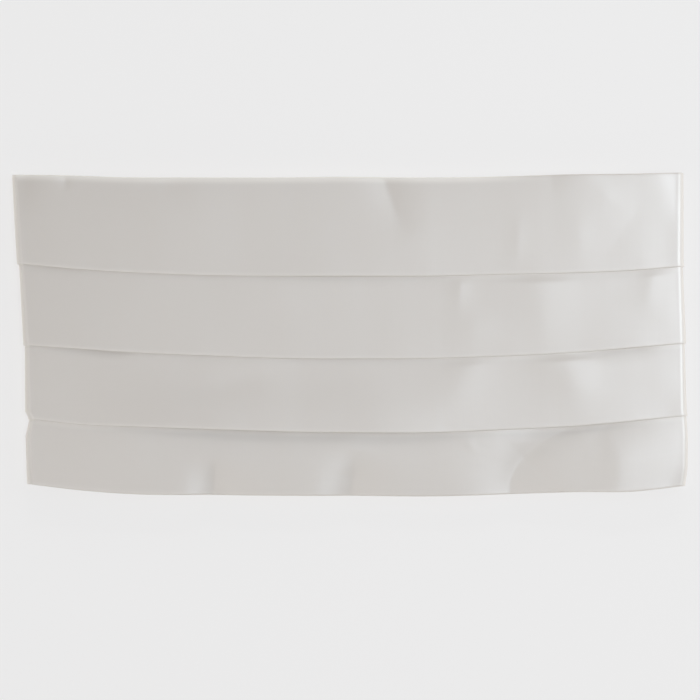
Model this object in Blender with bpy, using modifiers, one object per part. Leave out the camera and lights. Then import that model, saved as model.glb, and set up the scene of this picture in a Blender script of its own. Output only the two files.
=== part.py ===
"""Cummerbund in off-white satin, lying face up with its two wings folded in behind.

Units are metres with +Z up. +X is the wearer's left along the waist, +Y points to the
upper edge, and the origin is under the middle of the garment on the surface it lies on.
Each pleat is a strip of cloth whose lower edge is folded back under itself. It runs
across the front, round both side folds and a short way underneath, where it meets the
wings. The strips overlap like roof tiles, each over the upper edge of the next.
"""

import math

import bmesh
import bpy
import numpy as np

MM = 0.001

# The cloth, in millimetres.
WALL = 1.0
GAP = 0.3
LAYER = WALL + GAP
PLEAT_DEPTH = 10.0  # how far a folded edge reaches back under its own pleat
PANEL = 3 * WALL + 2 * GAP  # thickness where a folded edge lies on the next pleat
RISE_SHARES = (0.35, 0.7)  # places where a pleat climbs from under the one above it
EDGE_TURN_STEPS = 4

# The side folds.
FOLD_INSIDE = 1.2  # inner radius of the fold
UNDER_REACH = 18.0  # how far the pleats run on underneath
WING_TAPER = 0.002  # share of its height that a wing loses for each millimetre of length
TURN_CENTRE = PANEL + FOLD_INSIDE  # height of the side folds' axis
FRONT_BASE = PANEL + 2 * FOLD_INSIDE  # height of the front's inner face at the side folds

# The front lies over three layers in the middle, and droops where the wings are set back.
MIDDLE_RISE = 0.7
DROOP = 1.6
DROOP_FROM = 46.0
DROOP_OVER = 18.0

# The long edges of the cloth, from the top down: the side folds' axes at that height, and
# the height of the edge at seven places across the front.
ACROSS = (-130, -95, -50, 0, 50, 95, 130)
EDGES = (
    # name, left axis, right axis, heights at ACROSS
    ("top", -132.4, 130.2, (64.0, 63.1, 62.8, 63.1, 62.8, 64.0, 64.5)),
    ("fold 1", -129.1, 129.3, (28.0, 25.0, 23.1, 23.1, 23.6, 24.7, 27.0)),
    ("fold 2", -126.7, 130.1, (-4.5, -7.1, -9.4, -9.9, -9.1, -7.0, -3.8)),
    ("fold 3", -124.7, 130.9, (-34.2, -36.8, -38.5, -39.5, -39.0, -36.2, -33.2)),
    ("hem", -126.4, 131.5, (-60.2, -63.8, -64.8, -65.0, -64.8, -63.0, -60.9)),
)
EDGE_FIT_DEGREE = 4
AXIS_HEIGHTS = {side: [row[3][0 if side < 0 else -1] for row in EDGES] for side in (-1, 1)}
AXES = {-1: [row[1] for row in EDGES], 1: [row[2] for row in EDGES]}

FRONT_STEPS = 20
TURN_STEPS = 6
UNDER_STEPS = 2

# The two wings, one slab on the other.
OUTER_WING_END = 86.0  # where the lower wing stops
OUTER_WING_HALF = (59.0, 36.0)  # its half height at its root and at its end
INNER_WING_HALF = (45.0, 60.0)  # the upper wing's, in the middle and at the side folds
SIDE_CLEAR = 1.0  # between a wing's end and the pleats that turn round it
WINGS_MEET = PANEL + GAP
WINGS_TOP = FRONT_BASE - GAP
WING_LEVELS = (
    # wing, how far its edge is drawn in, height
    ("outer", 1.0, 0.0),
    ("outer", 0.3, 0.4),
    ("outer", 0.0, 1.2),
    ("outer", 0.0, 2.4),
    ("outer", 0.4, 3.2),
    ("outer", 1.4, WINGS_MEET),
    ("inner", 1.2, WINGS_MEET),
    ("inner", 0.3, WINGS_MEET + 0.5),
    ("inner", 0.3, WINGS_TOP - 0.5),
    ("inner", 1.2, WINGS_TOP),
)
CORNER_SHARES = (0.05, 0.12)  # how much of a wing's half length and height its corner rounds
CORNER_STEPS = 3
LONG_STEPS = 10
SHORT_STEPS = 4

# The closing strap, and the slider and hook on its lower face: length, width, thickness.
STRAP = (21.0, 25.0, 1.0)
STRAP_HEIGHT = 2.2
SLIDER = (12.0, 31.0, 1.2)
SLIDER_FROM_WING = 1.0
SLIDER_BAR = 2.6
HOOK = (9.0, 24.0, 1.0)
HOOK_FROM_SLIDER = 0.6

SATIN = ("duchess_satin", "CCC5BC", 0.4, 0.0)
WEBBING = ("woven_webbing", "E2DFD9", 0.8, 0.0)
NICKEL = ("nickel_plate", "C9C7C2", 0.28, 1.0)


def linear(channel):
    return channel / 12.92 if channel <= 0.04045 else ((channel + 0.055) / 1.055) ** 2.4


def material(name, colour, roughness, metallic):
    found = bpy.data.materials.get(name)
    if found:
        return found
    made = bpy.data.materials.new(name)
    made.use_nodes = True
    shader = made.node_tree.nodes["Principled BSDF"]
    rgb = [linear(int(colour[i : i + 2], 16) / 255) for i in (0, 2, 4)]
    shader.inputs["Base Color"].default_value = (*rgb, 1)
    shader.inputs["Roughness"].default_value = roughness
    shader.inputs["Metallic"].default_value = metallic
    return made


def finish(obj, name, looks, collection):
    """Names the object, gives it its material and moves it to the garment's collection."""
    obj.name = obj.data.name = name
    obj.data.materials.clear()
    obj.data.materials.append(material(*looks))
    for owner in list(obj.users_collection):
        owner.objects.unlink(obj)
    collection.objects.link(obj)
    return obj


def edge_height(edge, x):
    """Height of a long edge at x, along one smooth curve through its row of the table."""
    curve = np.polynomial.Polynomial.fit(ACROSS, EDGES[edge][3], EDGE_FIT_DEGREE)
    return float(curve(x))


def fold_axis(side, y):
    """Where the side fold's axis is at height y. np.interp wants rising heights."""
    return float(np.interp(-y, [-h for h in AXIS_HEIGHTS[side]], AXES[side]))


def front_base(x, y):
    """Height of the front's inner face over the layers beneath."""
    across = min(abs(x) / ACROSS[-1], 1)
    beyond = max(abs(y) - DROOP_FROM, 0) / DROOP_OVER
    rise = MIDDLE_RISE * math.cos(across * math.pi / 2)
    return FRONT_BASE + rise - DROOP * beyond**2 * (1 - across**3)


def path_stations():
    """Places along the garment, left end to right end: (side, turn, run).

    On the front turn is 0 and run is the share of the way from axis to axis. Round a side
    fold turn is the angle, and underneath it is pi and run is the distance gone.
    """
    under = [UNDER_REACH * (1 - k / UNDER_STEPS) for k in range(UNDER_STEPS)]
    turns = [math.pi * k / TURN_STEPS for k in range(TURN_STEPS, 0, -1)]
    left = [(-1, math.pi, run) for run in under] + [(-1, turn, 0.0) for turn in turns]
    right = [(1, turn, run) for _, turn, run in reversed(left)]
    return left + [(0, 0.0, k / FRONT_STEPS) for k in range(FRONT_STEPS + 1)] + right


def cloth_point(station, edge, above, level):
    """A point of the cloth: `above` an edge, and `level` out from the panel's inner face."""
    side, turn, run = station
    if side == 0:
        rough = (2 * run - 1) * ACROSS[-1]
        y = edge_height(edge, rough) + above
        x = fold_axis(-1, y) * (1 - run) + fold_axis(1, y) * run
        return x, y, front_base(x, y) + level
    y = edge_height(edge, side * ACROSS[-1]) + above
    radius = FOLD_INSIDE + level
    x = fold_axis(side, y) + side * (radius * math.sin(turn) - run)
    return x, y * (1 - WING_TAPER * run), TURN_CENTRE + radius * math.cos(turn)


def folded_edge(edge, front, back, inward):
    """The half circle in which the cloth turns back at an edge, as (edge, above, level).

    inward is 1 where the pleat lies above this edge, and -1 where it lies below.
    """
    middle, radius = (front + back) / 2, abs(front - back) / 2
    turn = radius + WALL / 2
    steps = [math.pi * k / EDGE_TURN_STEPS for k in range(EDGE_TURN_STEPS + 1)]
    return [
        (edge, inward * (turn - radius * math.sin(a)), middle + (front - middle) * math.cos(a))
        for a in steps
    ]


def pleat_section(number):
    """The middle line of one pleat's wall from its upper to its lower end."""
    low = WALL / 2
    high = PANEL - WALL / 2 if number < 4 else low + LAYER
    upper, lower = number - 1, number
    if number == 1:
        turned = folded_edge(upper, low + LAYER, low, -1)
        start = [(upper, -PLEAT_DEPTH, low), *reversed(turned)]
        first = (upper, turned[0][1], low + LAYER)
    else:
        start = [(upper, PLEAT_DEPTH, low), (upper, -GAP, low)]
        first = start[-1]
    rise = [("between", share, first[2] + (high - first[2]) * share) for share in RISE_SHARES]
    back = high - LAYER
    end = [(lower, PLEAT_DEPTH + GAP, high), *folded_edge(lower, high, back, 1)]
    return start, rise, [*end, (lower, PLEAT_DEPTH, back)]


def section_point(station, place, first, last):
    """A point of the section at a station; "between" is a share of the way down the pleat."""
    if place[0] != "between":
        return np.array(cloth_point(station, *place))
    a = np.array(cloth_point(station, first[0], first[1], place[2]))
    b = np.array(cloth_point(station, last[0], last[1], place[2]))
    return a * (1 - place[1]) + b * place[1]


def pleat(number, collection):
    """One pleat: a grid shaped to the strip's middle surface, with the wall's thickness."""
    start, rise, end = pleat_section(number)
    section = [*start, *rise, *end]
    stations = path_stations()
    bpy.ops.mesh.primitive_grid_add(
        x_subdivisions=len(stations) - 1, y_subdivisions=len(section) - 1, size=2
    )
    obj = bpy.context.object
    rows = {}
    for vertex in obj.data.vertices:
        column = round((vertex.co.x + 1) / 2 * (len(stations) - 1))
        row = round((1 - vertex.co.y) / 2 * (len(section) - 1))
        rows[vertex.index] = (stations[column], section[row])
    for index, (station, place) in rows.items():
        point = section_point(station, place, start[-1], end[0])
        obj.data.vertices[index].co = point * MM
    wall = obj.modifiers.new("wall", "SOLIDIFY")
    wall.thickness = WALL * MM
    wall.offset = 0
    wall.use_even_offset = True
    obj.data.shade_smooth()
    return finish(obj, f"pleat_{number}", SATIN, collection)


def rounded_ring():
    """A closed outline, anticlockwise, of a square from -1 to 1 with rounded corners."""
    cut_x, cut_y = CORNER_SHARES
    turns = [math.pi / 2 * k / CORNER_STEPS for k in range(CORNER_STEPS + 1)]
    along = [(1 - 2 * k / LONG_STEPS) * (1 - cut_x) for k in range(1, LONG_STEPS)]
    down = [(1 - 2 * k / SHORT_STEPS) * (1 - cut_y) for k in range(1, SHORT_STEPS)]
    corner = [(1 - cut_x * (1 - math.cos(a)), 1 - cut_y * (1 - math.sin(a))) for a in turns]
    half = corner + [(x, 1) for x in along] + [(-x, y) for x, y in reversed(corner)]
    half += [(-1, y) for y in down]
    return half + [(-x, -y) for x, y in half]


def wing_shape(wing):
    """The wing's left end, right end and half height, as functions of place."""
    if wing == "inner":
        return (
            lambda y: fold_axis(-1, y) + SIDE_CLEAR,
            lambda y: fold_axis(1, y) - SIDE_CLEAR,
            lambda x: np.interp(min(abs(x) / ACROSS[-1], 1) ** 3, (0, 1), INNER_WING_HALF),
        )
    return (
        lambda y: fold_axis(-1, y) + UNDER_REACH + SIDE_CLEAR,
        lambda y: OUTER_WING_END,
        lambda x: np.interp(x, (ACROSS[0], OUTER_WING_END), OUTER_WING_HALF),
    )


def wing_outline(wing, inset):
    left, right, half = wing_shape(wing)
    points = []
    for across, up in rounded_ring():
        share = (1 + across) / 2
        y = up * (half(left(0) * (1 - share) + right(0) * share) - inset)
        x = (left(y) + inset) * (1 - share) + (right(y) - inset) * share
        points.append((x, y))
    return points


def folded_wings(collection):
    """The two wings as one rounded solid: the lower wing's slab, a groove, the upper's."""
    mesh = bpy.data.meshes.new("folded_wings")
    shape = bmesh.new()
    rings = []
    for wing, inset, z in WING_LEVELS:
        outline = wing_outline(wing, inset)
        rings.append([shape.verts.new((x * MM, y * MM, z * MM)) for x, y in outline])
    for below, above in zip(rings, rings[1:]):
        for k, corner in enumerate(below):
            following = (k + 1) % len(below)
            shape.faces.new((corner, below[following], above[following], above[k]))
    shape.faces.new(list(reversed(rings[0])))
    shape.faces.new(rings[-1])
    bmesh.ops.recalc_face_normals(shape, faces=shape.faces)
    shape.to_mesh(mesh)
    shape.free()
    obj = bpy.data.objects.new("folded_wings", mesh)
    bpy.context.scene.collection.objects.link(obj)
    return finish(obj, "folded_wings", SATIN, collection)


def box(centre, size):
    """A closed box, both in millimetres."""
    bpy.ops.mesh.primitive_cube_add(size=1)
    obj = bpy.context.object
    for vertex in obj.data.vertices:
        vertex.co = [(c + v * s) * MM for c, v, s in zip(centre, vertex.co, size)]
    return obj


def cut(obj, cutters, collection):
    """Takes each cutter out of the object, and hides the cutters in their own collection."""
    for k, cutter in enumerate(cutters):
        finish(cutter, f"{obj.name}_window_{k}", NICKEL, collection)
        cutter.hide_render = True
        cutter.display_type = "WIRE"
        window = obj.modifiers.new(f"window {k}", "BOOLEAN")
        window.object = cutter
        window.operation = "DIFFERENCE"


def closure(collection, cutters):
    """Strap, slider and hook, lying in the pocket past the lower wing's end."""
    start = OUTER_WING_END + GAP
    finish(box((start + STRAP[0] / 2, 0, STRAP_HEIGHT), STRAP), "strap", WEBBING, collection)
    length, width, thick = SLIDER
    height = STRAP_HEIGHT - STRAP[2] / 2 - GAP - thick / 2
    middle = start + SLIDER_FROM_WING + length / 2
    slider = finish(box((middle, 0, height), SLIDER), "strap_slider", NICKEL, collection)
    window = ((length - 3 * SLIDER_BAR) / 2, width - 2 * SLIDER_BAR, 3 * thick)
    offset = (window[0] + SLIDER_BAR) / 2
    windows = [box((middle + side * offset, 0, height), window) for side in (-1, 1)]
    cut(slider, windows, cutters)
    hook_at = middle + (length + HOOK[0]) / 2 + HOOK_FROM_SLIDER
    finish(box((hook_at, 0, height), HOOK), "strap_hook", NICKEL, collection)


def main():
    for obj in list(bpy.data.objects):
        bpy.data.objects.remove(obj)
    collections = []
    for name in ("cummerbund", "cutters"):
        collections.append(bpy.data.collections.new(name))
        bpy.context.scene.collection.children.link(collections[-1])
    garment, cutters = collections
    for number in range(1, len(EDGES)):
        pleat(number, garment)
    folded_wings(garment)
    closure(garment, cutters)


main()
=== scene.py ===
"""Cummerbund in off-white duchess satin, lying face up with its wings folded in behind.

Lengths are in millimetres until a mesh is made. +X runs along the waist, +Y to the upper
edge and +Z up. Every sheet of cloth is a grid over two things: stations along the garment
(inner wing, side fold, front, side fold, outer wing) and places down its height.
"""

import math

import bpy
import numpy as np
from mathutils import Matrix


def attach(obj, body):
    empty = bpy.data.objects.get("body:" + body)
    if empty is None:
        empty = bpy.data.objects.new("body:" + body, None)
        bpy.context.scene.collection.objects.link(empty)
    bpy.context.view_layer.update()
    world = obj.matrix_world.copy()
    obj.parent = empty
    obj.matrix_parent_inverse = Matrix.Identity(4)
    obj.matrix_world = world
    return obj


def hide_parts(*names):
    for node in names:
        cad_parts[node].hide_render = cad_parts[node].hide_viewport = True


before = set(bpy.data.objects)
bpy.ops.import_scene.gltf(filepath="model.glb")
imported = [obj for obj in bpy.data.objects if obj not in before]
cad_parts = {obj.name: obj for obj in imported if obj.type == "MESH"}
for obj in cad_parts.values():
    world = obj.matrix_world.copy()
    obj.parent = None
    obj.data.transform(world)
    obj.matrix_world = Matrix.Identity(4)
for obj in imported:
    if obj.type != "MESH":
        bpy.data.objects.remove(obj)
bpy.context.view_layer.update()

MM = 0.001
BODY = "root"

# Cloth.
SATIN_THICK = 0.3
LAYER_GAP = 0.04
LINING_THICK = 0.25
LINING_INSET = 1.2  # the lining stops short of the satin's edges
LINING_EASE = 5.0  # how soon it rises from them
LINING_ROWS = 33
PAINTED_RIM_HEIGHT = 1.3  # height of the painted highlight along a fold's edge
PAINTED_RIM_STRENGTH = 0.3  # how strong that painted highlight is
# Over what height the top edge's roll gets a painted highlight
PAINTED_TOP_HEIGHT = 3.2
# Painted light on the cloth just under each edge, against the shade there: left, right.
PAINTED_UNDER_EDGE = ((0.0, 0.35), (0.1, 0.4), (0.35, 0.4))
PAINTED_UNDER_ACROSS = (-10.0, 70.0)  # it changes from one to the other between these
PAINTED_UNDER_REACH = 2.2
PAINTED_SIDE_LIGHT = 0.55  # how strong the painted light is round the side folds
SIDE_RIM = 0.003  # over what share of the front it begins before them
SIDE_CALM = 0.02  # over what share of the front the relief grows from the side folds
TOP_FADES = (45.0, 85.0)  # the top roll and its painted highlight fade towards the right along the top edge
EDGE_ROLL = 0.13  # radius of the middle of the cloth where a pleat turns back
PLEAT_DEPTH = 10.0  # how far a pleat reaches back under itself
TUCKED = SATIN_THICK / 2  # level of cloth that lies under the pleat above
TURNED_BACK = TUCKED + SATIN_THICK + LAYER_GAP
PLEAT_FACE = TURNED_BACK + 2 * EDGE_ROLL
HEM_FACE = TUCKED + 2 * EDGE_ROLL
PANEL = PLEAT_FACE + SATIN_THICK / 2

# The closing strap, and how soft its edges and the stamped metal's are.
STRAP_RUN = (76.0, 107.2)
STRAP_WIDTH = 25.0
STRAP_THICK = 1.0
STRAP_HEIGHT = 2.2
STRAP_SOFT_EDGE = 0.3
METAL_SOFT_EDGE = 0.15

# The slide and the hook, stamped from sheet metal: places along x with their heights,
# places across, and the cells that are punched out, as (along, across) counts.
SLIDE_THICK = 1.2
SLIDE_PATH = ((87.3, 0.8), (89.9, 0.8), (92.0, 0.8), (94.6, 0.8), (96.7, 0.8), (99.3, 0.8))
SLIDE_ACROSS = (-15.5, -12.9, 12.9, 15.5)
SLIDE_HOLES = ((1, 1), (3, 1))
HOOK_THICK = 0.36
HOOK_PATH = (
    (99.9, 0.5),
    (102.0, 0.5),
    (104.2, 0.5),
    (106.2, 0.5),
    (108.3, 0.5),
    (108.6, 0.62),
    (108.7, 0.8),
    (108.6, 0.98),
    (108.3, 1.1),
    (105.4, 1.1),
)
HOOK_ACROSS = (-12.0, -9.6, -5.0, 5.0, 9.6, 12.0)
HOOK_SLOT = ((1, 1), (1, 2), (1, 3))
BESIDE_TONGUE = tuple((along, row) for along in range(3, 9) for row in (0, 1, 3, 4))
HOOK_HOLES = HOOK_SLOT + BESIDE_TONGUE
STAMPED_CORNER = 0.9
STAMPED_CORNER_STEPS = 4
SHARP_EDGE = 50.0  # degrees, from which an edge of the metal is softened
SMOOTH_UNDER = 30.0  # degrees, up to which its faces are shaded as one

# The folded stack.
STACK = 9.6
FOLD_AXIS_HEIGHT = STACK / 2
FOLD_INSIDE = FOLD_AXIS_HEIGHT - PANEL
FOLD_REACH = 2.4  # how far the side folds bulge past their axes
MIDDLE_SAG = 1.1
WING_LENGTH = 211.0
WING_TAPER = 0.002
WING_LOFT = 1.9  # how far a wing's lining stands off its satin
WING_LIFT = 3.15  # how far the inner wing climbs on to the outer one
WING_CLIMB = (12.0, 22.0)  # where along it
STRAP_BUMP = 0.85  # the lining's rise over the strap, as a share of the wing's loft
STRAP_BUMP_SIDE = (13.0, 18.0)  # how far out it falls off, either side of the strap
STRAP_BUMP_END = (12.0, 6.0)  # how far before the wing's end it rises
WING_OPENS = (2.0, 20.0)  # past the side fold a wing lies as flat as in its middle
SIDE_HOLD = 30  # how near the side folds the front follows their height
DROOP = 0.5  # how far the front drops where it hangs past the wings' edges
DROOP_FROM = 40.0
DROOP_OVER = 24.0
# How much thinner the side folds end, from what distance off the middle, and over what.
PINCH = (0.11, 40.0, 26.0)
TOP_ROLL = (0.10, 2.0)  # how far the top edge rolls down, and over what height

# Heights of the five long edges at eleven places across the front.
ACROSS = np.array((-130, -110, -90, -60, -30, 0, 30, 60, 90, 110, 130), float)
EDGES = (
    ("top", (63.9, 63.6, 62.9, 62.8, 62.8, 63.1, 62.8, 63.2, 64.0, 64.2, 64.7)),
    ("fold 1", (28.0, 26.0, 24.7, 23.5, 23.1, 23.1, 23.1, 23.8, 24.4, 25.3, 26.9)),
    ("fold 2", (-4.6, -6.0, -7.4, -8.7, -9.8, -10.0, -9.8, -8.9, -7.3, -5.6, -3.9)),
    ("fold 3", (-34.2, -36.3, -37.1, -38.1, -39.1, -39.5, -39.5, -38.3, -36.7, -34.9, -32.9)),
    ("hem", (-60.2, -62.6, -64.1, -64.5, -64.8, -64.9, -65.1, -64.3, -63.3, -63.1, -61.0)),
)

# Where the side folds end, from the hem up: height, left, right.
SIDE_FOLDS = (
    (-61.0, -130.4, 134.8),
    (-54.0, -130.7, 135.8),
    (-41.0, -131.2, 136.0),
    (-33.5, -129.6, 135.5),
    (-31.0, -130.9, 135.1),
    (-4.0, -131.6, 134.8),
    (26.0, -133.7, 134.1),
    (29.0, -134.2, 133.8),
    (64.2, -136.5, 134.1),
)

# How each folded edge gapes: edge, from x, widest from, widest to, to x, how much the
# pleat lifts there, how much the cloth under it sinks, and how far down that sinking runs.
GAPES = (
    (1, -131, -124, -118, -100, 0.1, 0.1, 4),
    (1, -60, -6, 8, 60, 0.3, 0.1, 6),
    (1, 80, 108, 116, 130, 0.1, 0.15, 3.5),
    (2, -126, -99, -94, -84, 0.1, 0.3, 3.5),
    (2, -90, -66, -60, -40, 0.05, 0.1, 4),
    (2, -40, 0, 14, 60, 0.25, 0.1, 6),
    (2, 84, 104, 113, 126, 0.15, 0.45, 7),
    (3, -116, -45, 8, 76, 1.4, 0.6, 14),
    (3, 52, 78, 100, 126, 0.15, 0.7, 14),
)
LIFT_REACH = 28.0  # how far up a lifted pleat starts to rise

# Creases in the front, each a bent line from its lower end to its upper end.
# pleat, start, bend, end, height, width to its left, width to its right, sharpness,
# strength at start, middle and end
CREASES = (
    (1, (22.9, 38.8), (15.3, 54.4), (12.9, 64.5), -1.0, 6.0, 7.0, 1.2, (0, 0.6, 1)),
    (1, (-114.0, 57.0), (-113.5, 60.0), (-114.8, 65.0), -0.5, 2.0, 1.6, 1.3, (0, 0.7, 1)),
    (1, (-63.0, 58.0), (-75.0, 60.0), (-86.0, 59.0), -0.25, 4.0, 4.0, 1.6, (0, 1, 0)),
    (1, (81.3, 54.8), (80.9, 59.6), (80.1, 64.5), -0.12, 2.5, 2.5, 1.3, (0, 0.7, 1)),
    (1, (112.5, 46.6), (102.0, 54.0), (94.5, 64.6), 0.6, 20.0, 7.0, 1.5, (0, 0.7, 1)),
    (1, (125.5, 42.6), (125.7, 52.6), (124.9, 65.0), 0.14, 8.0, 9.0, 1.6, (0, 0.7, 1)),
    (1, (66.9, 27.4), (67.5, 38.0), (67.3, 50.0), 0.14, 2.8, 2.8, 1.6, (0, 1, 0)),
    (1, (93.0, 28.4), (90.5, 38.0), (91.3, 52.0), 0.10, 6.0, 4.0, 1.6, (0, 1, 0)),
    (2, (43.3, 6.6), (43.5, 14.6), (44.1, 26.0), 0.28, 3.0, 3.4, 1.6, (0, 0.6, 1)),
    (2, (49.3, -8.4), (49.5, 2.6), (48.5, 14.0), 0.25, 9.0, 8.0, 1.7, (0.3, 1, 0)),
    (2, (80.9, -8.4), (76.7, 7.6), (74.5, 25.4), 0.48, 11.0, 15.0, 2.0, (0.2, 0.8, 0.9)),
    (2, (118.5, 5.4), (119.8, 15.6), (120.9, 26.4), 0.32, 6.0, 8.0, 1.3, (0, 0.7, 0.9)),
    (2, (125.7, -4.6), (125.0, 6.0), (124.5, 17.4), 0.07, 6.0, 9.0, 1.6, (0, 1, 0)),
    (3, (34.5, -34.4), (41.9, -22.6), (48.1, -9.2), 0.36, 9.0, 8.0, 1.9, (0, 0.7, 0.8)),
    (3, (95.3, -31.4), (88.1, -18.6), (82.4, -7.2), 0.66, 11.0, 10.0, 1.9, (0, 0.7, 0.9)),
    (3, (124.5, -32.0), (124.0, -18.0), (123.7, -4.0), 0.16, 6.0, 8.0, 1.6, (0, 1, 0)),
    (3, (-66.0, -22.0), (-50.0, -19.0), (-30.0, -20.0), -0.20, 4.0, 5.0, 1.6, (0, 1, 0)),
    (4, (-67.0, -67.5), (-66.5, -60.0), (-66.0, -50.2), 0.65, 20.0, 7.0, 1.6, (1, 0.6, 0)),
    (4, (-56.0, -67.5), (-55.5, -60.0), (-54.0, -50.2), -1.9, 5.0, 8.0, 1.3, (1, 0.6, 0)),
    (4, (-14.0, -67.5), (-12.5, -59.0), (-10.0, -46.4), 0.65, 22.0, 8.0, 1.6, (1, 0.6, 0)),
    (4, (-1.0, -67.5), (0.0, -59.0), (2.1, -46.4), -2.0, 6.0, 10.0, 1.3, (1, 0.6, 0)),
    (4, (64.0, -67.0), (60.0, -46.6), (92.0, -36.6), -2.2, 9.0, 22.0, 1.15, (1, 0.9, 0.3)),
    (4, (105.0, -67.0), (113.5, -50.4), (101.3, -38.0), 0.95, 10.0, 20.0, 1.6, (1, 1, 0.3)),
    (4, (45.5, -46.0), (47.5, -44.0), (50.5, -42.6), 0.12, 3.0, 3.0, 1.6, (0, 1, 0)),
)
RIPPLES = (
    # height, length across, length up, how much each pleat is out of step
    (0.05, 83.0, -260.0, 1.9),
    (0.03, 47.0, 140.0, 2.6),
    (0.012, 21.0, 170.0, 4.1),
)
CREASE_SEGMENTS = 24
CREASE_ROUNDING = 0.7
CREASE_FADE = 4.0  # ridges die out as they near the edge above

# Grid spacing.
FRONT_STEP = 0.85
DOWN_STEP = 0.7
WING_STEP = 4.0
TURN_STEPS = 12
ROLL_STEPS = 6

# Photograph's frame: 0.4 mm a pixel, its centre a little below the garment's.
PHOTO_WIDTH = 280.0
PHOTO_CENTRE = (-0.3, -6.4)
CAMERA_HEIGHT = 900.0
SENSOR = 36.0

# Light.
FLOOR_SIZE = 60.0  # metres
FLOOR_GREY = 0.17
FLOOR_GLOW = (0.709, 0.7024, 0.698)
BACKDROP = 0.83  # strength of the light from the walls
CEILING = 0.04
WALL_TOP = (0.4, 0.6)  # how steeply up the walls turn into ceiling, as sines
LAMPS = (
    # name, from the zenith, azimuth, strength, angular size, colour
    ("window", 18, 10, 0.76, 14, (0.91, 1.0, 1.09)),
    ("fill", 18, -142, 0.32, 18, (1.02, 1.0, 0.98)),
    ("low_top", 62, 84, 0.27, 4, (1.0, 1.0, 1.0)),
    ("left_box", 50, 180, 0.14, 40, (1.0, 1.0, 1.0)),
)
# A softbox beside the garment: where it stands, its size, and its power in watts
SOFTBOX = (420.0, 110.0, 420.0)
SOFTBOX_SIZE = 300.0
SOFTBOX_POWER = 0.66
SOFTBOX_COLOUR = (0.90, 1.0, 1.10)


def smooth_step(value, low, high):
    t = np.clip((value - low) / (high - low), 0, 1)
    return t * t * (3 - 2 * t)


def smooth_curve(x, at, values):
    """A cubic through the values, with the slope of its neighbours at each."""
    values = np.asarray(values, float)
    slopes = np.gradient(values, at)
    x = np.clip(x, at[0], at[-1])
    k = np.clip(np.searchsorted(at, x) - 1, 0, len(at) - 2)
    span = at[k + 1] - at[k]
    t = (x - at[k]) / span
    return (
        values[k] * (1 + 2 * t) * (1 - t) ** 2
        + slopes[k] * span * t * (1 - t) ** 2
        + values[k + 1] * t * t * (3 - 2 * t)
        + slopes[k + 1] * span * t * t * (t - 1)
    )


def edge_height(edge, x):
    return smooth_curve(x, ACROSS, EDGES[edge][1])


def fold_axis(side, y):
    table = np.array(SIDE_FOLDS)
    return np.interp(y, table[:, 0], table[:, 1 if side < 0 else 2]) - side * FOLD_REACH


def pinched(y):
    """How much less than the middle the side folds stand up at this height."""
    share, start, over = PINCH
    return share * np.clip((np.abs(y) - start) / over, 0, 1.2) ** 2


def front_base(x, y):
    """Height of the front's inner face, over the wings and past their edges."""
    across = np.clip(np.abs(x) / ACROSS[-1], 0, 1)
    beyond = np.clip(np.abs(y) - DROOP_FROM, 0, None) / DROOP_OVER
    sag = MIDDLE_SAG * np.cos(across * math.pi / 2) ** 2
    sag = sag + DROOP * beyond**2 * (1 - across**3)
    return STACK * (1 - pinched(y) * across**SIDE_HOLD) - PANEL - sag


def plateau(x, start, rise, fall, end):
    return smooth_step(x, start, rise) * (1 - smooth_step(x, fall, end))


def open_edges(pleat, x, y):
    """Where a pleat gapes at its own lower edge and sinks below the edge above it."""
    height = np.zeros_like(x)
    below = edge_height(pleat - 1, x) - y
    above = y - edge_height(pleat, x)
    for edge, start, rise, fall, end, lift, sink, reach in GAPES:
        width = plateau(x, start, rise, fall, end)
        if edge == pleat:
            height += lift * width * (1 - smooth_step(above, 0, LIFT_REACH))
        if edge == pleat - 1:
            height -= sink * width * np.clip(1 - below / reach, 0, 1.5) ** 1.5
    return height


def ripple(pleat, x, y):
    """The small unevenness of satin that has been handled."""
    height = np.zeros_like(x)
    for amount, length_x, length_y, phase in RIPPLES:
        turn = 2 * math.pi * (x / length_x + y / length_y) + phase * pleat
        height += amount * np.sin(turn)
    return height


def crease_relief(pleat, x, y):
    """The creases of one pleat as one height over the front."""
    relief = np.zeros_like(x)
    for row in CREASES:
        if row[0] != pleat:
            continue
        start, bend, end = (np.array(p) for p in row[1:4])
        height, left, right, sharpness, strengths = row[4:]
        t = np.linspace(0, 1, CREASE_SEGMENTS + 1)[:, None]
        line = start * (1 - t) ** 2 + bend * 2 * t * (1 - t) + end * t * t
        near = np.full(x.shape, np.inf)
        share = np.zeros(x.shape)
        across = np.zeros(x.shape)
        for k in range(CREASE_SEGMENTS):
            (ax, ay), (bx, by) = line[k], line[k + 1]
            length = math.hypot(bx - ax, by - ay)
            dx, dy = (bx - ax) / length, (by - ay) / length
            run = np.clip((x - ax) * dx + (y - ay) * dy, 0, length)
            distance = np.hypot(x - ax - run * dx, y - ay - run * dy)
            closer = distance < near
            near = np.where(closer, distance, near)
            share = np.where(closer, (k + run / length) / CREASE_SEGMENTS, share)
            across = np.where(closer, dx * (y - ay) - dy * (x - ax), across)
        to_left = smooth_step(across, -CREASE_ROUNDING, CREASE_ROUNDING)
        width = left * to_left + right * (1 - to_left)
        strength = np.interp(share, (0, 0.5, 1), strengths)
        rounded = np.hypot(near, CREASE_ROUNDING)
        relief += height * strength * np.exp(-((rounded / width) ** sharpness))
    return relief


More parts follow.
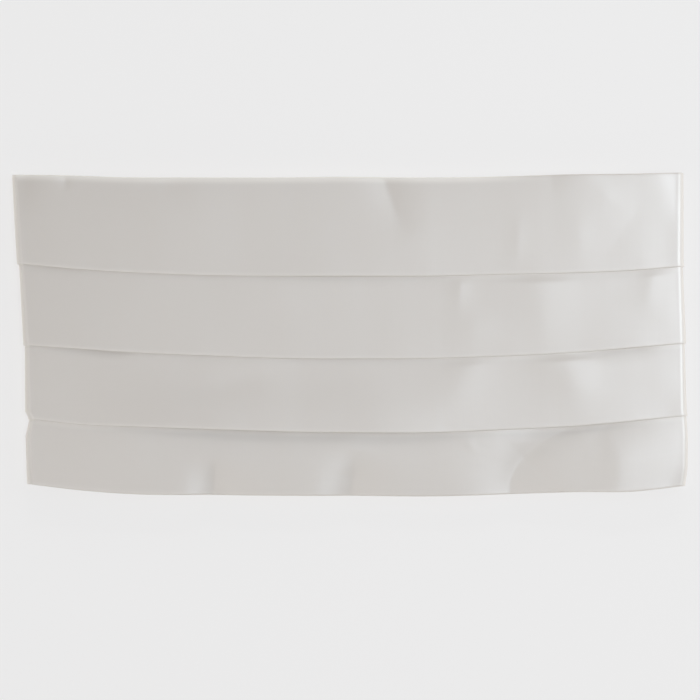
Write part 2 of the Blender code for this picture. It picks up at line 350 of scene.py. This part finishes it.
def stations():
    """Places along the garment as columns: side, turn, run, share of the front, length."""
    half = (ACROSS[-1] - ACROSS[0]) / 2
    turn_length = math.pi * (FOLD_INSIDE + PANEL / 2)
    wing_runs = np.linspace(WING_LENGTH, 0, round(WING_LENGTH / WING_STEP), endpoint=False)
    turns = np.linspace(math.pi, 0, TURN_STEPS, endpoint=False)
    left = [(-1, math.pi, run, 0, -half - turn_length - run) for run in wing_runs]
    left += [(-1, turn, 0, 0, -half - turn_length * turn / math.pi) for turn in turns]
    count = round(2 * half / FRONT_STEP)
    middle = [(0, 0, 0, k / count, half * (2 * k / count - 1)) for k in range(count + 1)]
    right = [(1, turn, run, 0, -length) for _, turn, run, _, length in reversed(left)]
    return np.array(left + middle + right)


def wing_rise(side, run):
    """The inner wing climbs on to the outer one, past the closing strap."""
    return WING_LIFT * (side > 0) * smooth_step(run, *WING_CLIMB)


def place_cloth(path, pleat, shares, above, level):
    """Points of a pleat's strip, and how much painted highlight and painted light each gets in
    the satin's base colour.

    Columns follow the path and rows the places down the strip's height."""
    side, turn, run, share, _ = (column[:, None] for column in path.T)
    across = ACROSS[0] + share * (ACROSS[-1] - ACROSS[0])
    x_guess = np.where(side == 0, across, side * ACROSS[-1])
    upper, lower = edge_height(pleat - 1, x_guess), edge_height(pleat, x_guess)
    y = upper * (1 - shares) + lower * shares + above
    left, right = fold_axis(-1, y), fold_axis(1, y)
    front_x = left * (1 - share) + right * share
    level = level(y, upper, lower)
    bulge = (FOLD_REACH - PANEL + level) * np.sin(turn)
    turned_x = np.where(side < 0, left, right) + side * (bulge - run)
    axis = FOLD_AXIS_HEIGHT * (1 - pinched(y) * (1 - smooth_step(run, *WING_OPENS)))
    turned_z = axis + (axis - PANEL + level) * np.cos(turn) + wing_rise(side, run)
    handled = crease_relief(pleat, front_x, y) + ripple(pleat, front_x, y)
    if pleat > 1:
        below = edge_height(pleat - 1, front_x) - y
        fade = np.where(handled > 0, smooth_step(below, 0, CREASE_FADE), 1)
        relief = open_edges(pleat, front_x, y) + handled * fade
    else:
        drop, over = TOP_ROLL
        rolled = np.clip(1 - (upper - y) / over, 0, 1) ** 2
        rolled = rolled * (1 - smooth_step(x_guess, *TOP_FADES))
        relief = open_edges(pleat, front_x, y) + handled - drop * rolled
    from_side = np.minimum(share, 1 - share)
    near_side = smooth_step(from_side, 0, SIDE_CALM)
    front_z = front_base(front_x, y) + level + relief * near_side
    x = np.where(side == 0, front_x, turned_x)
    z = np.where(side == 0, front_z, turned_z)
    # Painted highlight along the pleat's lower, folded edge.
    painted_light = PAINTED_RIM_STRENGTH * np.clip(1 - np.abs(y - lower) / PAINTED_RIM_HEIGHT, 0, 1)
    # Painted light round the side folds.
    to_side = np.where(side == 0, smooth_step(from_side, 0, SIDE_RIM), 0)
    painted_light = np.maximum(painted_light, PAINTED_SIDE_LIGHT * (1 - to_side) * (run == 0))
    if pleat > 1:
        # Painted light on the cloth just under the edge above, against the shade there.
        painted_under = np.interp(x_guess, PAINTED_UNDER_ACROSS, PAINTED_UNDER_EDGE[pleat - 2])
        painted_light = np.maximum(painted_light, painted_under * np.clip(1 - (upper - y) / PAINTED_UNDER_REACH, 0, 1))
    else:
        # Painted highlight along the top roll.
        top = 1 - smooth_step(upper - y, 0, PAINTED_TOP_HEIGHT)
        top = top * (1 - smooth_step(x_guess, *TOP_FADES))
        painted_light = np.maximum(painted_light, top)
    return np.stack([x, y * (1 - WING_TAPER * run), z], axis=-1), painted_light


def edge_roll(face, back, share, inward):
    """Rows round a folded edge, from the face to the cloth turned back: share, above, level."""
    middle, radius = (face + back) / 2, (face - back) / 2
    turn = np.linspace(0, math.pi, ROLL_STEPS + 1)
    above = inward * (radius * (1 - np.sin(turn)) + SATIN_THICK / 2)
    return [(share, a, middle + radius * math.cos(t)) for a, t in zip(above, turn)]


def pleat_rows(number, height):
    """Rows down one pleat: share of the way to its lower edge, above, level."""
    face = PLEAT_FACE if number < 4 else HEM_FACE
    back = TURNED_BACK if number < 4 else TUCKED
    if number == 1:
        roll = edge_roll(HEM_FACE, TUCKED, 0, -1)[::-1]
        tucks = np.linspace(-PLEAT_DEPTH, roll[0][1], 5, endpoint=False)
        start = [(0, a, TUCKED) for a in tucks] + roll
        from_level = HEM_FACE
    else:
        tucks = np.linspace(PLEAT_DEPTH, 0, 5)
        start = [(0, a, TUCKED) for a in tucks]
        from_level = TUCKED
    roll = edge_roll(face, back, 1, 1)
    count = round(height / DOWN_STEP)
    shares = np.arange(1, count) / count
    begin, stop = start[-1][1], roll[0][1]
    front = [(s, begin * (1 - s) + stop * s, None) for s in shares]
    backs = np.linspace(roll[-1][1], PLEAT_DEPTH, 6)[1:]
    rows = start + front + roll + [(1, a, back) for a in backs]

    def level(y, upper, lower):
        free = from_level + (face - from_level) * np.clip((upper - y) / (upper - lower), 0, 1)
        fixed = np.array([0 if row[2] is None else row[2] for row in rows])
        is_front = np.array([row[2] is None for row in rows])
        return np.where(is_front, free, fixed + 0 * y)

    shares, above = (np.array([row[k] for row in rows]) for k in (0, 1))
    return shares, above, level


def cloth_sheet(name, points, along, thickness, painted_light=None):
    """A grid laid over the points and given the cloth's thickness, with its flat size, which
    is as long as the garment runs and as high as its highest column.

    Its UVs are in metres, along the garment and down it."""
    columns, rows = points.shape[:2]
    bpy.ops.object.select_all(action="DESELECT")
    bpy.ops.mesh.primitive_grid_add(
        x_subdivisions=columns - 1, y_subdivisions=rows - 1, size=2, calc_uvs=True
    )
    obj = bpy.context.object
    obj.name = obj.data.name = name
    mesh = obj.data
    grid = np.empty(len(mesh.vertices) * 3)
    mesh.vertices.foreach_get("co", grid)
    grid = grid.reshape(-1, 3)
    column = np.rint((grid[:, 0] + 1) / 2 * (columns - 1)).astype(int)
    row = np.rint((1 - grid[:, 1]) / 2 * (rows - 1)).astype(int)
    mesh.vertices.foreach_set("co", (points[column, row] * MM).ravel())
    lengths = np.cumsum(np.linalg.norm(np.diff(points, axis=1), axis=2), axis=1)
    down = np.concatenate([[0], lengths[np.argmax(lengths[:, -1])]])
    corners = np.empty(len(mesh.loops), int)
    mesh.loops.foreach_get("vertex_index", corners)
    uvs = np.stack([along[column[corners]], down[row[corners]]], axis=-1) * MM
    mesh.uv_layers[0].name = "cloth"
    mesh.uv_layers[0].data.foreach_set("uv", uvs.ravel())
    # The mask of painted highlights and painted light that the satin's base colour follows.
    if painted_light is not None:
        mark = mesh.attributes.new("painted_light", "FLOAT", "POINT")
        mark.data.foreach_set("value", painted_light[column, row])
    mesh.update()
    wall = obj.modifiers.new("cloth", "SOLIDIFY")
    wall.thickness = thickness * MM
    wall.offset = 0
    bpy.ops.object.modifier_apply(modifier=wall.name)
    obj.data.shade_smooth()
    return obj, (float(np.ptp(along)), float(down[-1]))


def satin_pleat(number):
    """One strip of the pleated satin, from the inner wing's end to the outer wing's."""
    path = stations()
    height = max(EDGES[number - 1][1]) - min(EDGES[number][1])
    shares, above, level = pleat_rows(number, height)
    points, painted_light = place_cloth(path, number, shares, above, level)
    return cloth_sheet(f"satin_pleat_{number}", points, path[:, 4], SATIN_THICK, painted_light)


def wing_lining(name, side):
    """The plain inner face of a wing, closed to the satin at its edges and over the strap."""
    runs = np.linspace(LINING_INSET, WING_LENGTH - LINING_INSET, round(WING_LENGTH / WING_STEP))
    shares = np.linspace(0, 1, LINING_ROWS)
    run, share = np.meshgrid(runs, shares, indexing="ij")
    upper = EDGES[0][1][0 if side < 0 else -1] - LINING_INSET
    lower = EDGES[-1][1][0 if side < 0 else -1] + LINING_INSET
    y = upper * (1 - share) + lower * share
    from_edge = np.minimum(np.minimum(upper - y, y - lower), np.minimum(run, WING_LENGTH - run))
    puff = 1 - (1 - np.clip((from_edge - LINING_INSET) / LINING_EASE, 0, 1)) ** 2
    beside = np.abs(y * (1 - WING_TAPER * run))
    over_strap = (1 - smooth_step(beside, *STRAP_BUMP_SIDE)) * (side < 0)
    over_strap = over_strap * smooth_step(run, *(WING_LENGTH - d for d in STRAP_BUMP_END))
    seam = PANEL + SATIN_THICK / 2 + LAYER_GAP
    z = seam + WING_LOFT * np.maximum(puff, over_strap * STRAP_BUMP) + wing_rise(side, run)
    x = fold_axis(side, y) - side * run
    points = np.stack([x, y * (1 - WING_TAPER * run), z], axis=-1)
    return cloth_sheet(name, points[::-1] if side > 0 else points, side * runs, LINING_THICK)


def closing_strap():
    """The webbing that comes out of the outer wing's end, over the slider and the hook."""
    start, end = STRAP_RUN
    x, y = np.meshgrid(np.linspace(start, end, 40), np.linspace(1, -1, 15), indexing="ij")
    z = STRAP_HEIGHT + 0 * x
    points = np.stack([x, y * STRAP_WIDTH / 2, z], axis=-1)
    strap, flat = cloth_sheet("closing_strap", points, points[:, 0, 0] - start, STRAP_THICK)
    edge = strap.modifiers.new("soft edge", "BEVEL")
    edge.width = STRAP_SOFT_EDGE * MM
    edge.segments = 3
    edge.limit_method = "ANGLE"
    return strap, flat


def stamped_metal(name, path, across, holes, thickness):
    """A plate along the path, with its holes punched out and its corners and edges softened."""
    columns, rows = len(path), len(across)
    bpy.ops.object.select_all(action="DESELECT")
    bpy.ops.mesh.primitive_grid_add(x_subdivisions=columns - 1, y_subdivisions=rows - 1, size=2)
    obj = bpy.context.object
    obj.name = obj.data.name = name
    mesh = obj.data
    cells = {}
    for vertex in mesh.vertices:
        column = round((vertex.co.x + 1) / 2 * (columns - 1))
        row = round((vertex.co.y + 1) / 2 * (rows - 1))
        cells[vertex.index] = (column, row)
        vertex.co = (path[column][0] * MM, across[row] * MM, path[column][1] * MM)
    bpy.ops.object.mode_set(mode="EDIT")
    bpy.ops.mesh.select_mode(type="FACE")
    bpy.ops.mesh.select_all(action="DESELECT")
    bpy.ops.object.mode_set(mode="OBJECT")
    for face in mesh.polygons:
        face.select = tuple(min(cells[v][k] for v in face.vertices) for k in (0, 1)) in holes
    bpy.ops.object.mode_set(mode="EDIT")
    bpy.ops.mesh.delete(type="FACE")
    bpy.ops.mesh.select_mode(type="VERT")
    bpy.ops.mesh.select_all(action="DESELECT")
    bpy.ops.object.mode_set(mode="OBJECT")
    uses = [0] * len(mesh.vertices)
    for face in mesh.polygons:
        for v in face.vertices:
            uses[v] += 1
    for vertex in mesh.vertices:
        vertex.select = uses[vertex.index] == 1
    bpy.ops.object.mode_set(mode="EDIT")
    bpy.ops.mesh.bevel(
        offset=STAMPED_CORNER * MM, segments=STAMPED_CORNER_STEPS, affect="VERTICES"
    )
    bpy.ops.object.mode_set(mode="OBJECT")
    wall = obj.modifiers.new("sheet metal", "SOLIDIFY")
    wall.thickness = thickness * MM
    wall.offset = 0
    edge = obj.modifiers.new("tumbled edge", "BEVEL")
    edge.width = min(METAL_SOFT_EDGE, thickness / 4) * MM
    edge.segments = 2
    edge.limit_method = "ANGLE"
    edge.angle_limit = math.radians(SHARP_EDGE)
    for modifier in (wall, edge):
        bpy.ops.object.modifier_apply(modifier=modifier.name)
    bpy.ops.object.shade_smooth_by_angle(angle=math.radians(SMOOTH_UNDER))
    return obj


# Materials.


def linear(hex_colour):
    channels = [int(hex_colour[i : i + 2], 16) / 255 for i in (1, 3, 5)]
    return tuple(c / 12.92 if c <= 0.04045 else ((c + 0.055) / 1.055) ** 2.4 for c in channels)


def add_node(tree, kind, inputs=(), **settings):
    """Adds a node, sets its settings, and gives each input a value or a link."""
    node = tree.nodes.new(kind)
    for key, value in settings.items():
        setattr(node, key, value)
    for key, value in dict(inputs).items():
        if isinstance(value, bpy.types.NodeSocket):
            tree.links.new(value, node.inputs[key])
        else:
            node.inputs[key].default_value = value
    return node


def new_material(name):
    material = bpy.data.materials.new(name)
    material.use_nodes = True
    return material, material.node_tree, material.node_tree.nodes["Principled BSDF"]


def thread_ripple(tree, lengths, detail=2.0):
    """Noise over the cloth's own UV, stretched to these lengths along and down, in mm."""
    uv = add_node(tree, "ShaderNodeUVMap", uv_map="cloth")
    scale = [1 / (length * MM) for length in lengths]
    place = add_node(
        tree, "ShaderNodeMapping", {"Vector": uv.outputs[0], "Scale": (*scale, 1.0)}
    )
    noise = add_node(
        tree,
        "ShaderNodeTexNoise",
        {"Vector": place.outputs[0], "Scale": 1.0, "Detail": detail},
        noise_dimensions="2D",
    )
    return noise.outputs["Fac"]


def ribs(tree, length, direction):
    """Even ribs of this length in mm over the cloth's UV, across X or Y."""
    uv = add_node(tree, "ShaderNodeUVMap", uv_map="cloth")
    wave = add_node(
        tree,
        "ShaderNodeTexWave",
        # a wave node's own length is 2 pi / 20 of its unit
        {"Vector": uv.outputs[0], "Scale": math.pi / 10 / (length * MM)},
        bands_direction=direction,
    )
    return wave.outputs["Fac"]


def relief(tree, shader, layers):
    """Lays height maps one on another as bumps. Each is (map, full height in mm)."""
    under = None
    for height, full in layers:
        inputs = {"Height": height, "Distance": full * MM, "Strength": 1.0}
        if under is not None:
            inputs["Normal"] = under.outputs[0]
        under = add_node(tree, "ShaderNodeBump", inputs)
    tree.links.new(under.outputs[0], shader.inputs["Normal"])


def mixed_tone(tree, share, dark, light):
    return add_node(
        tree,
        "ShaderNodeMix",
        {0: share, 6: (*linear(dark), 1), 7: (*linear(light), 1)},
        data_type="RGBA",
    ).outputs[2]


def duchess_satin():
    """Heavy satin: long floats on the face give a broad soft gloss, and the weave barely shows.
    Its base colour is painted lighter along the folded edges and the top roll as painted
    highlights, and round the side folds and just under each edge as painted light against the
    shade there."""
    material, tree, shader = new_material("duchess_satin")
    shader.inputs["Roughness"].default_value = 0.4
    shader.inputs["IOR"].default_value = 1.7
    shader.inputs["Specular IOR Level"].default_value = 1.0
    painted_light = add_node(tree, "ShaderNodeAttribute", attribute_name="painted_light")
    # Painted highlights and painted light: the base colour goes from #E1D7CD to the lighter
    # #FFF7ED where the mask is high.
    tone = mixed_tone(tree, painted_light.outputs["Fac"], "#E1D7CD", "#FFF7ED")
    tree.links.new(tone, shader.inputs["Base Color"])
    relief(
        tree,
        shader,
        (
            (thread_ripple(tree, (6, 90)), 0.045),  # drawn-out streaks down the cloth
            (thread_ripple(tree, (24, 10)), 0.09),  # the hand-ironed unevenness
            (ribs(tree, 0.45, "Y"), 0.0012),  # the floats, drawn three times coarser
        ),
    )
    return material


def lining_sateen():
    """Plain lining cloth: close weave both ways, matt beside the satin."""
    material, tree, shader = new_material("lining_sateen")
    shader.inputs["Roughness"].default_value = 0.7
    shader.inputs["Sheen Weight"].default_value = 0.15
    tone = mixed_tone(tree, thread_ripple(tree, (14, 14)), "#D8D0C5", "#E2DBD1")
    tree.links.new(tone, shader.inputs["Base Color"])
    relief(
        tree,
        shader,
        (
            (ribs(tree, 0.5, "X"), 0.02),  # threads, drawn twice as coarse as the real ones
            (ribs(tree, 0.5, "Y"), 0.02),
            (thread_ripple(tree, (18, 12)), 0.25),
        ),
    )
    return material


def strap_webbing():
    """Narrow-loom webbing: ribs across it, flat and matt, with closer threads between."""
    material, tree, shader = new_material("strap_webbing")
    shader.inputs["Roughness"].default_value = 0.8
    shader.inputs["Sheen Weight"].default_value = 0.2
    # Painted shade and painted light: darker between the ribs and lighter on their tops, on the
    # same wave as their bump.
    tone = mixed_tone(tree, ribs(tree, 1.1, "X"), "#CFC8BD", "#E6E0D7")
    tree.links.new(tone, shader.inputs["Base Color"])
    relief(tree, shader, ((ribs(tree, 1.1, "X"), 0.12), (ribs(tree, 0.6, "Y"), 0.05)))
    return material


def nickel_plate():
    """Satin nickel on stamped steel: grey, a little warm, brushed along the bar, faintly worn."""
    material, tree, shader = new_material("nickel_plate")
    shader.inputs["Metallic"].default_value = 1.0
    place = add_node(tree, "ShaderNodeTexCoord").outputs["Object"]
    brushed = add_node(
        tree,
        "ShaderNodeTexNoise",
        {
            "Vector": add_node(
                tree, "ShaderNodeMapping", {"Vector": place, "Scale": (6000, 250, 6000)}
            ).outputs[0],
            "Scale": 1.0,
            "Detail": 3.0,
        },
    ).outputs["Fac"]
    worn = add_node(tree, "ShaderNodeTexNoise", {"Vector": place, "Scale": 220.0}).outputs["Fac"]
    tree.links.new(mixed_tone(tree, worn, "#B9B5AD", "#CCC9C3"), shader.inputs["Base Color"])
    rough = add_node(
        tree, "ShaderNodeMapRange", {"Value": brushed, "To Min": 0.24, "To Max": 0.4}
    )
    tree.links.new(rough.outputs[0], shader.inputs["Roughness"])
    relief(tree, shader, ((brushed, 0.004),))
    return material


def assign(obj, material):
    obj.data.materials.clear()
    obj.data.materials.append(material)
    return obj


def dress(piece, material, node):
    """Gives a piece its material, hides the CAD node it stands for, and hangs it on the body."""
    assign(piece, material)
    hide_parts(node)
    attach(piece, BODY)


def floor_and_light():
    bpy.ops.mesh.primitive_plane_add(size=FLOOR_SIZE)
    floor = bpy.context.object
    floor.name = "floor"
    material, tree, shader = new_material("pale_floor")
    shader.inputs["Base Color"].default_value = (FLOOR_GREY, FLOOR_GREY, FLOOR_GREY, 1)
    shader.inputs["Roughness"].default_value = 1.0
    shader.inputs["Specular IOR Level"].default_value = 0.0
    shader.inputs["Emission Color"].default_value = (*FLOOR_GLOW, 1)
    shader.inputs["Emission Strength"].default_value = 1.0
    assign(floor, material)
    world = bpy.data.worlds.new("studio")
    bpy.context.scene.world = world
    world.use_nodes = True
    tree = world.node_tree
    seen = add_node(tree, "ShaderNodeTexCoord")
    direction = add_node(tree, "ShaderNodeSeparateXYZ", {0: seen.outputs["Generated"]})
    room = add_node(
        tree,
        "ShaderNodeMapRange",
        {
            "Value": direction.outputs["Z"],
            "From Min": WALL_TOP[0],
            "From Max": WALL_TOP[1],
            "To Min": BACKDROP,
            "To Max": CEILING,
        },
        interpolation_type="SMOOTHSTEP",
    )
    tree.nodes["Background"].inputs["Color"].default_value = (1, 1, 1, 1)
    tree.links.new(room.outputs[0], tree.nodes["Background"].inputs["Strength"])
    for name, zenith, azimuth, strength, angle, colour in LAMPS:
        lamp = bpy.data.lights.new(name, "SUN")
        lamp.energy = strength
        lamp.color = colour
        lamp.angle = math.radians(angle)
        obj = bpy.data.objects.new(name, lamp)
        bpy.context.scene.collection.objects.link(obj)
        obj.rotation_euler = (0, math.radians(zenith), math.radians(azimuth))
    box = bpy.data.lights.new("softbox", "AREA")
    box.size = SOFTBOX_SIZE * MM
    box.energy = SOFTBOX_POWER
    box.color = SOFTBOX_COLOUR
    obj = bpy.data.objects.new("softbox", box)
    bpy.context.scene.collection.objects.link(obj)
    obj.location = [c * MM for c in SOFTBOX]
    obj.rotation_euler = obj.location.to_track_quat("Z", "Y").to_euler()
    obj.visible_camera = False


def photo_camera():
    data = bpy.data.cameras.new("camera")
    camera = bpy.data.objects.new("camera", data)
    bpy.context.scene.collection.objects.link(camera)
    camera.location = (PHOTO_CENTRE[0] * MM, PHOTO_CENTRE[1] * MM, (STACK + CAMERA_HEIGHT) * MM)
    data.sensor_width = SENSOR
    data.lens = SENSOR * CAMERA_HEIGHT / PHOTO_WIDTH
    bpy.context.scene.camera = camera


def main():
    bpy.context.scene.view_settings.view_transform = "Standard"
    satin, lining = duchess_satin(), lining_sateen()
    for number in range(1, 5):
        piece, flat = satin_pleat(number)
        dress(piece, satin, f"pleat_{number}")
    for name, side in (("outer_wing_lining", -1), ("inner_wing_lining", 1)):
        piece, flat = wing_lining(name, side)
        dress(piece, lining, "folded_wings")
    piece, _ = closing_strap()
    dress(piece, strap_webbing(), "strap")
    metal = nickel_plate()
    slide = stamped_metal("three_bar_slide", SLIDE_PATH, SLIDE_ACROSS, SLIDE_HOLES, SLIDE_THICK)
    dress(slide, metal, "strap_slider")
    hook = stamped_metal("flat_hook", HOOK_PATH, HOOK_ACROSS, HOOK_HOLES, HOOK_THICK)
    dress(hook, metal, "strap_hook")
    floor_and_light()
    photo_camera()


main()
